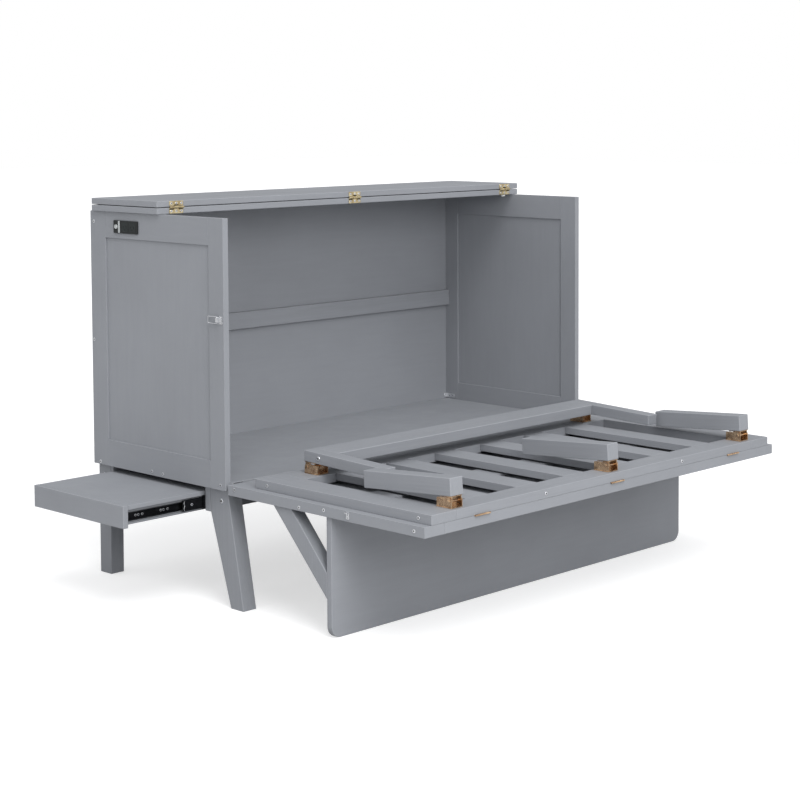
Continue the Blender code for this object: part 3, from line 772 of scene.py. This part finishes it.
def lug_cheeks(name, body, pivot, tilt, rise, way):
    """The plate under a folding leg, with two cheeks around the bracket's pin."""
    shape = bmesh.new()
    half, top = LUG_HALF, pivot.z + rise - 0.0002
    y = sorted((pivot.y - way * LEG_BACKSET, pivot.y + way * 0.030))
    plate(shape, (pivot.x - half, y[0]), (pivot.x + half, y[1]), 0.003, "z", (top - LUG_PLATE, top),
          0.0003)
    outline = arc(pivot, LUG_ROUND, range(180, 361, 15))
    outline += [(pivot.y + LUG_ROUND, top - 0.0015), (pivot.y - LUG_ROUND, top - 0.0015)]
    for side in (-1, 1):
        slab(shape, outline, "x",
             sorted((pivot.x + side * (half - 0.0042), pivot.x + side * (half - 0.0022))))
    for dy in (0.008, 0.024):
        for dx in (-0.008, 0.008):
            cross_head(shape, (pivot.x + dx, pivot.y + way * dy, top - LUG_PLATE), (0, 0, -1),
                       0.0030, 0.0006)
    fitting(name, shape, body, "brass", "copper", tilt=(pivot, tilt))


def fixed_bracket(name, node, pivot, way):
    """A channel bracket on the foot section, with the leg's pin through its cheeks."""
    low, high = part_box(node)
    far = pivot.y + way * 0.040
    shape = bmesh.new()
    plate(shape, (low.x, low.y), (high.x, high.y), 0.003, "z", (low.z, low.z + LUG_PLATE), 0.0003)
    radius = high.z - pivot.z
    outline = arc(pivot, radius, range(180 if way > 0 else 0, 90, -15 * way))
    outline += [(pivot.y, high.z), (far - way * 0.003, high.z - 0.0023), (far, high.z - 0.0045),
                (far, low.z + 0.001), (pivot.y - way * radius, low.z + 0.001)]
    for side in (-1, 1):
        slab(shape, outline, "x", sorted((pivot.x + side * CHEEK[0], pivot.x + side * CHEEK[1])))
        turned(shape, (pivot.x + side * CHEEK[1], pivot.y, pivot.z), (side, 0, 0),
               [(-0.001, 0.0046), (0.0006, 0.0046), (0.0011, 0.0038), (0.0013, 0.0020)])
    turned(shape, (pivot.x - CHEEK[0] - 0.001, pivot.y, pivot.z), (1, 0, 0),
           [(0.0, BRACKET_PIN), (2 * CHEEK[0] + 0.002, BRACKET_PIN)])
    for dy in (0.014, 0.032):
        for dx in (-0.009, 0.009):
            cross_head(shape, (pivot.x + dx, pivot.y + way * dy, low.z + LUG_PLATE), (0, 0, 1),
                       0.0030, 0.0006)
    fitting(name, shape, "foot_section", "brass", "copper", node)


def build_folding_legs():
    """Three short legs at the joint, and the U-shaped end frame."""
    for label in SPOTS:
        pivot, tilt = tilt_of(f"mid_leg_{label}_fold")
        node = f"mid_leg_{label}"
        base = pivot.z + MID_LEG_RISE
        board(f"{node}_look", node, at(pivot.x - MID_LEG / 2, pivot.y - LEG_BACKSET, base),
              at(pivot.x + MID_LEG / 2, pivot.y + LEG_TIP, base + MID_LEG), "painted_wood",
              [node], FOLDING_EDGE, (pivot, tilt))
        lug_cheeks(f"{node}_lug", node, pivot, tilt, MID_LEG_RISE, 1)
        fixed_bracket(f"{node}_bracket_look", f"mid_leg_bracket_{label}", pivot, 1)
    pivot, tilt = tilt_of("end_frame_fold")
    base = pivot.z + END_RISE
    y = (pivot.y - LEG_TIP, pivot.y + LEG_BACKSET)

    def part(label, first, last):
        board(f"end_frame_{label}", "end_frame", at(*first, base),
              at(*last, base + END_THICKNESS), "painted_wood", ["end_frame"], FOLDING_EDGE,
              (pivot, tilt))

    arms = []
    for side in ("left", "right"):
        low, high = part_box(f"end_frame_bracket_{side}")
        x = (low.x + high.x) / 2
        arms.append(x)
        part(f"leg_{side}", (x - END_ARM / 2, y[0]), (x + END_ARM / 2, y[1]))
        spot = Vector((x, pivot.y, pivot.z))
        lug_cheeks(f"end_frame_lug_{side}", "end_frame", spot, tilt, END_RISE, -1)
        fixed_bracket(f"end_frame_bracket_{side}_look", f"end_frame_bracket_{side}", spot, -1)
    part("board", (arms[0] + END_ARM / 2 + SEAM, y[1] - END_BOARD),
         (arms[1] - END_ARM / 2 - SEAM, y[1]))
    shape = bmesh.new()
    for x, way in ((arms[0] - END_ARM / 2, -1), (arms[1] + END_ARM / 2, 1)):
        socket_head(shape, (x, y[1] - 0.056, base + END_THICKNESS / 2), (way, 0, 0), 0.0062, 0.0016,
                    0.0004)
    fitting("end_frame_bolts", shape, "end_frame", "zinc_steel", "zinc", tilt=(pivot, tilt))


# ---- butt hinges

def barrel(shape, low, high, axis, outer, radius, end, pin):
    """A leaf's knuckles with drawn-in ends, and the pin if it is the outer leaf; their middles."""
    length = high.x - low.x
    third, middle = length / 3, (low.x + high.x) / 2
    own = (middle - third, middle + third) if outer else (middle,)
    for x in own:
        turned(shape, (x - third / 2 + 0.0002, axis.y, axis.z), (1, 0, 0),
               [(0.0, radius * end), (0.0003, radius), (third - 0.0007, radius),
                (third - 0.0004, radius * end)])
    if outer:
        start, tip, body = pin
        turned(shape, (low.x + start, axis.y, axis.z), (1, 0, 0),
               [(tip, 0.0010), (tip + body[0], body[1]), (length - body[2], body[1]),
                (length - body[3], 0.0010)])
    return own, third, middle, length


def hinge_leaf(name, node, body, joint, outer):
    """A leaf with rounded corners, its knuckles and three screws."""
    low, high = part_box(node)
    axis = place_of(joint)
    above = high.z - axis.z > axis.z - low.z
    radius = abs(high.y - axis.y)
    plate_y = (high.y - SHEET, high.y)
    plate_z = (axis.z + 0.0004, high.z) if above else (low.z, axis.z - 0.0004)
    reach = radius + 0.0008
    neck = (axis.z + reach, plate_z[1]) if above else (plate_z[0], axis.z - reach)
    shape = bmesh.new()
    plate(shape, (low.x, neck[0]), (high.x, neck[1]), 0.0022, "y", plate_y, 0.0002)
    own, third, middle, length = barrel(shape, low, high, axis, outer, radius, 0.9,
                                        (0.0005, -0.0008, (0.0005, 0.0016, 0.0007, 0.0002)))
    strap = (plate_z[0], neck[0] + 0.003) if above else (neck[1] - 0.003, plate_z[1])
    for x in own:
        plate(shape, (x - third / 2 + 0.0002, strap[0]), (x + third / 2 - 0.0002, strap[1]), 0.0002,
              "y", plate_y, steps=1)
    row = (neck[0] + neck[1]) / 2
    plate_faces = len(shape.faces)
    for x in (middle - length * 0.36, middle, middle + length * 0.36):
        cross_head(shape, (x, plate_y[0], row), (0, -1, 0), 0.0034, 0.0008)
    for face in list(shape.faces)[plate_faces:]:
        if face.material_index == 0:
            face.material_index = 2
    # slot 1 is near-black painted shade inside the screws' recesses, slot 2 the screw heads' zinc
    settle(name, shape, body, ["brass", "bore_dark", "zinc"], [node], smooth=35)


def edge_leaf(name, node, body, outer):
    """A leaf let into the joint between panel and section, with its knuckles at the edge."""
    low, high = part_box(node)
    axis = place_of("section_unfold")
    face = -1 if outer else 1
    z = sorted((axis.z + face * LEAF_FACE, axis.z + face * (LEAF_FACE + SHEET)))
    shape = bmesh.new()
    plate(shape, (low.x, axis.y + 0.0032), (high.x, high.y), 0.0030, "z", z, 0.0002)
    own, third, middle, length = barrel(shape, low, high, axis, outer, KNUCKLE, 0.88,
                                        (0.0006, -0.0004, (0.0004, 0.0014, 0.0012, 0.0008)))
    for x in own:
        plate(shape, (x - third / 2 + 0.0002, axis.y + 0.001),
              (x + third / 2 - 0.0002, axis.y + 0.005), 0.0002, "z", z, steps=1)
    for x in (middle - length * 0.34, middle, middle + length * 0.34):
        cross_head(shape, (x, axis.y + 0.0115, axis.z + face * LEAF_FACE), (0, 0, -face), 0.0030,
                   0.0002)
    fitting(name, shape, body, "brass", "copper", node)


def build_hinges():
    for label in SPOTS:
        hinge_leaf(f"lid_leaf_{label}_fixed", f"lid_hinge_{label}_top_leaf", "cabinet", "lid_fold", True)
        hinge_leaf(f"lid_leaf_{label}_moving", f"lid_hinge_{label}_lid_leaf", "lid", "lid_fold", False)
        edge_leaf(f"section_leaf_{label}_fixed", f"section_hinge_{label}_panel_leaf", "front_panel", True)
        edge_leaf(f"section_leaf_{label}_moving", f"section_hinge_{label}_section_leaf",
                  "foot_section", False)


# ---- latches, slides, outlet

def build_latch(side):
    """A draw latch: its base, its wire bow and the strike on the front's edge."""
    node = f"latch_base_{side}"
    low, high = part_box(node)
    out = -1 if side == "left" else 1
    face = high.x if side == "left" else low.x
    pivot = place_of(f"latch_bow_{side}_swing")

    def outward(near, far):
        return tuple(sorted((face + out * near, face + out * far)))

    shape = bmesh.new()
    plate(shape, (low.y, low.z), (high.y, high.z), 0.003, "x", outward(0.0, LATCH_PLATE), 0.0002)
    plate(shape, (pivot.y - 0.004, pivot.z - 0.0059), (pivot.y + 0.004, pivot.z + 0.0059), 0.0015,
          "x", outward(0.001, 0.0080), 0.0006)
    plate(shape, (low.y + 0.0015, pivot.z - 0.0048), (pivot.y + 0.001, pivot.z + 0.0048), 0.002,
          "x", outward(LATCH_PLATE, 0.0042), 0.0008)
    for z in (low.z + 0.0038, high.z - 0.0038):
        for y, radius in ((low.y + 0.0042, 0.0026), (high.y - 0.0034, 0.0022)):
            cross_head(shape, (face + out * LATCH_PLATE, y, z), (out, 0, 0), radius, 0.0006)
    fitting(f"{node}_look", shape, "cabinet", "chrome", "chrome", node)
    node = f"latch_bow_{side}"
    low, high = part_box(node)
    half = (high.z - low.z) / 2 - BOW_WIRE
    route = [(pivot.x, y, pivot.z + z) for y, z in (
        (pivot.y, -0.0063), (pivot.y, -half), (high.y - BOW_WIRE, -half), (high.y - BOW_WIRE, half),
        (pivot.y, half), (pivot.y, 0.0063))]
    tube(f"{node}_look", node, "chrome", route, BOW_WIRE, 0.0020, [node])
    node = f"latch_strike_{side}"
    low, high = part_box(node)
    face = high.x if side == "left" else low.x
    shape = bmesh.new()
    plate(shape, (low.y, low.z), (high.y, high.z), 0.0025, "x", outward(0, LATCH_PLATE), 0.0002)
    plate(shape, (low.y + 0.001, 0.0160 + low.z), (high.y - 0.001, 0.0185 + low.z), 0.0008,
          "x", outward(0.0008, 0.0086), 0.0004)
    for z in (low.z + 0.0042, low.z + 0.0115):
        cross_head(shape, (face + out * LATCH_PLATE, (low.y + high.y) / 2, z), (out, 0, 0), 0.0026,
                   0.0006)
    fitting(f"{node}_look", shape, "front_panel", "chrome", "chrome", node)


def channel_piece(node, body, slot, material, lip_side):
    """A rolled channel with round-edged lips, from its solid's box."""
    low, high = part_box(node)
    web = low.y if lip_side > 0 else high.y
    tip = high.y if lip_side > 0 else low.y
    points = [(web, low.z), (tip, low.z), (tip, low.z + SHEET), (web + lip_side * SHEET, low.z + SHEET),
              (web + lip_side * SHEET, high.z - SHEET), (tip, high.z - SHEET), (tip, high.z),
              (web, high.z)]
    return prism(f"{node}_look", body, points, "yz", (low.x, high.x), slot, material, [node], 0.0003)


def build_slides():
    """Two three-part ball slides under the shelf, with their screws, clips and balls."""
    for end, way in (("front", 1), ("rear", -1)):
        for member, body, lips in (("outer", "cabinet", way), ("middle", "slide_middle", way),
                                   ("inner", "shelf", -way)):
            channel_piece(f"slide_{end}_{member}", body, "black_steel", "black_zinc", lips)
        low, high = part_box(f"slide_{end}_inner")
        web = high.y if way > 0 else low.y
        shape = bmesh.new()
        for x in SLIDE_SCREWS:
            cross_head(shape, (low.x + x, web - way * SHEET, (low.z + high.z) / 2), (0, -way, 0),
                       0.0036, 0.0012)
        fitting(f"slide_{end}_screws", shape, "shelf", "zinc_steel", "zinc")
        low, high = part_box(f"slide_{end}_middle")
        tip, face = (high.y, low.y) if way > 0 else (low.y, high.y)
        middle = (low.z + high.z) / 2
        shape = bmesh.new()
        cross_head(shape, (low.x + 0.032, face, middle), (0, -way, 0), 0.0040, 0.0008)
        fitting(f"slide_{end}_stop_screw", shape, "slide_middle", "zinc_steel", "zinc")
        spring = [(low.x + x, face - way * 0.0004, z) for x, z in (
            (0.0065, low.z + 0.003), (0.0045, middle - 0.006), (0.0080, middle),
            (0.0045, middle + 0.006), (0.0065, high.z - 0.003))]
        tube(f"slide_{end}_clip", "slide_middle", "zinc", spring, 0.0007, 0.0015)
        shape = bmesh.new()
        for z in (low.z + 2 * BALL_RADIUS, high.z - 2 * BALL_RADIUS):
            for i in range(BALLS):
                centre = Vector((low.x + 0.010 + i * BALL_PITCH, tip - way * 0.0012, z))
                bmesh.ops.create_uvsphere(shape, u_segments=12, v_segments=8, radius=BALL_RADIUS,
                                          matrix=Matrix.Translation(centre))
        settle(f"slide_{end}_balls", shape, "slide_middle", ["chrome"], smooth=60)


def build_outlet():
    """The housing with the button's pocket, its box, two faces, a divider and the button."""
    low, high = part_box("outlet_housing")
    button_low, button_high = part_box("outlet_button")
    middle = (low.z + high.z) / 2
    button_y = (button_low.y + button_high.y) / 2
    lip = low.x + OUTLET_LIP
    shape = bmesh.new()
    plate(shape, (low.y, low.z), (high.y, high.z), 0.003, "x", (low.x, lip), 0.0008)
    # The lip is a closed shape of its own: the pocket isn't cut if the box is in the same mesh
    housing = fitting("outlet_housing_look", shape, "cabinet", "black_plastic", "socket_black",
                      "outlet_housing")
    carve(housing, [(at(low.x - 0.001, button_y - BUTTON_POCKET, middle - BUTTON_POCKET),
                     at(button_high.x + BUTTON_ROOM, button_y + BUTTON_POCKET,
                            middle + BUTTON_POCKET))])
    shape = bmesh.new()
    plate(shape, (low.y + 0.004, low.z + 0.004), (high.y - 0.004, high.z - 0.004), 0.002,
          "x", (lip, high.x))
    fitting("outlet_box_look", shape, "cabinet", "black_plastic", "socket_black", "outlet_housing")
    for label, along in OUTLET_FACES:
        y = low.y + along
        shape = bmesh.new()
        plate(shape, (y - FACE_HALF[0], middle - FACE_HALF[1]), (y + FACE_HALF[0], middle + FACE_HALF[1]),
              0.004, "x", (low.x - FACE_PROUD, low.x + 0.0020), 0.0005)
        face = fitting(f"outlet_face_{label}", shape, "cabinet", "black_plastic", "socket_face")
        holes = [(y - 0.0062, middle, 0.0009, 0.0040), (y + 0.0062, middle, 0.0009, 0.0034),
                 (y, middle - 0.0075, 0.0023, 0.0020)]
        carve(face, [(at(low.x - 0.002, a - w, b - h), at(low.x + 0.0012, a + w, b + h))
                     for a, b, w, h in holes])
    shape = bmesh.new()
    plate(shape, (high.y - 0.030, low.z + 0.0012), (high.y - 0.0225, high.z - 0.0012), 0.001,
          "x", (low.x - FACE_PROUD, low.x + 0.0015), 0.0004)
    fitting("outlet_divider", shape, "cabinet", "grey_plastic", "socket_grey")
    radius = (button_high.y - button_low.y) / 2
    shape = bmesh.new()
    turned(shape, (button_high.x, button_y, middle), (-1, 0, 0),
           [(along, radius * share) for along, share in (
               (0.0, 0.98), (0.0030, 0.98), (0.0036, 0.90), (0.0038, 0.80), (0.0034, 0.55),
               (0.0031, 0.25))], 32)
    fitting("outlet_button_look", shape, "outlet_button", "grey_plastic", "socket_grey",
            "outlet_button")


# ---- pivots, screws and small fittings

def build_pivots():
    """The front's two pivots: a bracket on the floor board's front edge, and the panel's pin."""
    pivot = place_of("front_fold")
    for side in ("left", "right"):
        node = f"pivot_bracket_{side}"
        low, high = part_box(node)
        middle = (low.x + high.x) / 2
        shape = bmesh.new()
        flange = (high.y - 0.003, high.y)
        plate(shape, (low.x, low.z), (high.x, high.z), 0.003, "y", flange, 0.0003)
        plate(shape, (middle - 0.006, pivot.y - 0.0025), (middle + 0.006, flange[1] - 0.001), 0.0005,
              "z", (low.z, low.z + 0.004), steps=1)
        plate(shape, (middle - 0.006, pivot.y - 0.0025), (middle + 0.006, pivot.y + 0.0025), 0.0005,
              "z", (low.z + 0.002, pivot.z), steps=1)
        turned(shape, (middle - 0.006, pivot.y, pivot.z), (1, 0, 0),
               [(0.0, 0.0046), (0.0004, 0.005), (0.0116, 0.005), (0.012, 0.0046)])
        for dx in (-0.011, 0.011):
            cross_head(shape, (middle + dx, flange[0], high.z - 0.007), (0, -1, 0), 0.0034, 0.0008)
        fitting(f"{node}_look", shape, "cabinet", "zinc_steel", "zinc", node)
        node = f"pivot_pin_{side}"
        low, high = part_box(node)
        shape = bmesh.new()
        turned(shape, (low.x, pivot.y, pivot.z), (1, 0, 0),
               [(0.0, 0.0017), (0.0005, 0.002), (high.x - low.x - 0.0005, 0.002), (high.x - low.x, 0.0017)])
        fitting(f"{node}_look", shape, "front_panel", "zinc_steel", "zinc", node)


def build_screws():
    """Heads in the outer faces: sides, front panel, foot section, legs and back."""
    spots = []
    for rear, down in SIDE_SCREWS:
        spots += both_ends(LEFT_LOW.x, RIGHT_HIGH.x, LEFT_HIGH.y - rear, LEFT_HIGH.z - down)
    screws("side_screws", "cabinet", spots, socket_head, 0.0048, 0.0009)
    low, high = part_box("front_panel")
    spots = []
    for rear, up in PANEL_SCREWS:
        spots += both_ends(low.x, high.x, high.y - rear, low.z + up)
    screws("panel_screws", "front_panel", spots, socket_head, 0.0048, 0.0009)
    low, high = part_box("foot_section")
    z = (low.z + high.z) / 2
    spots = []
    for y in (high.y - SECTION_SCREWS[0], low.y + SECTION_SCREWS[1]):
        spots += both_ends(low.x, high.x, y, z)
    for x in (low.x + SECTION_SCREW_X, high.x - SECTION_SCREW_X):
        spots.append(((x, low.y - PROUD, z), (0, -1, 0)))
    screws("section_screws", "foot_section", spots, socket_head, 0.0048, 0.0009)
    spots = []
    for leg, out in (("left", -1), ("right", 1)):
        for row, rear in (("front", 0.048), ("rear", 0.027)):
            first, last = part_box(f"{row}_leg_{leg}")
            spots.append(((first.x if out < 0 else last.x, last.y - rear, last.z - 0.033), (out, 0, 0)))
    screws("leg_bolts", "cabinet", spots, socket_head, 0.0064, 0.0020, 0.0006)
    low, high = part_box("back_panel")
    inset, rows, columns = BACK_SCREW_INSET, BACK_SCREW_ROWS, BACK_SCREW_COLUMNS
    spots = []
    for i in range(rows):
        z = low.z + inset + (high.z - low.z - 2 * inset) * i / (rows - 1)
        spots += [((x, high.y - PROUD, z), (0, 1, 0)) for x in (low.x + inset, high.x - inset)]
    for i in range(1, columns - 1):
        x = low.x + inset + (high.x - low.x - 2 * inset) * i / (columns - 1)
        spots.append(((x, high.y - PROUD, low.z + inset), (0, 1, 0)))
    screws("back_screws", "cabinet", spots, cross_head, 0.0038, 0.0006)


def build_small_fittings():
    """The zinc angle in the rear corner and the round bumper under the top."""
    low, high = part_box("corner_bracket")
    shape = bmesh.new()
    plate(shape, (low.x, low.z), (high.x, high.z), 0.002, "y", (high.y - SHEET, high.y), 0.0002)
    plate(shape, (low.y, low.z), (high.y, high.z), 0.002, "x", (high.x - SHEET, high.x), 0.0002)
    middle = (low.z + high.z) / 2
    for y in (low.y + 0.008, low.y + 0.024):
        cross_head(shape, (high.x - SHEET, y, middle), (-1, 0, 0), 0.0034, 0.0008)
    cross_head(shape, (low.x + 0.005, high.y - SHEET, middle), (0, -1, 0), 0.0030, 0.0008)
    fitting("corner_bracket_look", shape, "cabinet", "zinc_steel", "zinc", "corner_bracket")
    low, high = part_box("top_board")
    shape = bmesh.new()
    turned(shape, (high.x - 0.062, low.y + 0.009, low.z), (0, 0, -1),
           [(-0.001, 0.0075), (0.0035, 0.0075), (0.0050, 0.0066), (0.0060, 0.0040)])
    fitting("top_board_bumper", shape, "cabinet", "grey_plastic", "cap_white")


# ---- stage

def build_stage():
    mesh = bpy.data.meshes.new("floor")
    mesh.from_pydata([(-30, -30, 0), (30, -30, 0), (30, 30, 0), (-30, 30, 0)], [], [(0, 1, 2, 3)])
    floor = link("floor", mesh)
    floor.location.z = -0.0002
    material, tree, shader = new_material("studio_floor")
    speckle = noise(tree, add(tree, "ShaderNodeTexCoord").outputs["Object"], 1.5, 3.0)
    seen = add(tree, "ShaderNodeLightPath").outputs["Is Camera Ray"]
    glow = add(tree, "ShaderNodeMath", {0: seen, 1: FLOOR_GLOW}, operation="MULTIPLY")
    plug(tree, shader, Base_Color=ramp(tree, speckle, (0.3, 0.54), (0.7, 0.56)), Roughness=0.9,
         Emission_Color=(1.0, 1.0, 1.0, 1.0), Emission_Strength=glow.outputs["Value"])
    mesh.materials.append(material)

    world = bpy.data.worlds.new("studio")
    bpy.context.scene.world = world
    world.use_nodes = True
    tree = world.node_tree
    dome = tree.nodes["Background"]
    facing = add(tree, "ShaderNodeVectorMath",
                 {0: add(tree, "ShaderNodeTexCoord").outputs["Generated"], 1: DIM_SIDE},
                 operation="DOT_PRODUCT")
    glow = add(tree, "ShaderNodeMapRange", {"Value": facing.outputs["Value"], "From Min": 0.1,
                                            "From Max": 0.95, "To Min": DOME, "To Max": DOME * DOME_DIM})
    plug(tree, dome, Color=(0.97, 0.98, 1.0, 1.0), Strength=glow.outputs["Result"])
    backdrop = add(tree, "ShaderNodeBackground", {"Color": (1.0, 1.0, 1.0, 1.0), "Strength": 1.0})
    seen = add(tree, "ShaderNodeLightPath").outputs["Is Camera Ray"]
    both = add(tree, "ShaderNodeMixShader", {0: seen, 1: dome.outputs["Background"],
                                             2: backdrop.outputs["Background"]})
    tree.links.new(both.outputs["Shader"], tree.nodes["World Output"].inputs["Surface"])

    for name, kind, power, size, place, target in LIGHTS:
        light = bpy.data.lights.new(name, kind)
        light.energy = power
        if kind == "SUN":
            light.angle = size
        else:
            light.shape = "DISK"
            light.size = size
        lamp = link(name, light)
        lamp.location = place
        lamp.rotation_euler = (Vector(target) - Vector(place)).to_track_quat("-Z", "Y").to_euler()


def build_camera():
    """The camera of a long lens, shifted down, at the front left corner above the top."""
    data = bpy.data.cameras.new("camera")
    data.sensor_width = SENSOR
    data.lens = LENS
    data.shift_x, data.shift_y = SHIFT
    data.clip_end = 200.0
    camera = link("camera", data)
    turn = (Matrix.Rotation(-YAW, 4, "Z") @ Matrix.Rotation(pi / 2 - PITCH, 4, "X")
            @ Matrix.Rotation(ROLL, 4, "Z"))
    camera.matrix_world = Matrix.Translation(CAMERA_PLACE) @ turn
    bpy.context.scene.camera = camera


build_side("left")
build_side("right")
plain_boards()
prisms()
build_shelf()
build_front_panel()
build_foot_section()
build_folding_legs()
build_hinges()
build_latch("left")
build_latch("right")
build_slides()
build_outlet()
build_pivots()
build_screws()
build_small_fittings()
build_stage()
build_camera()
bpy.context.scene.view_settings.view_transform = "Standard"
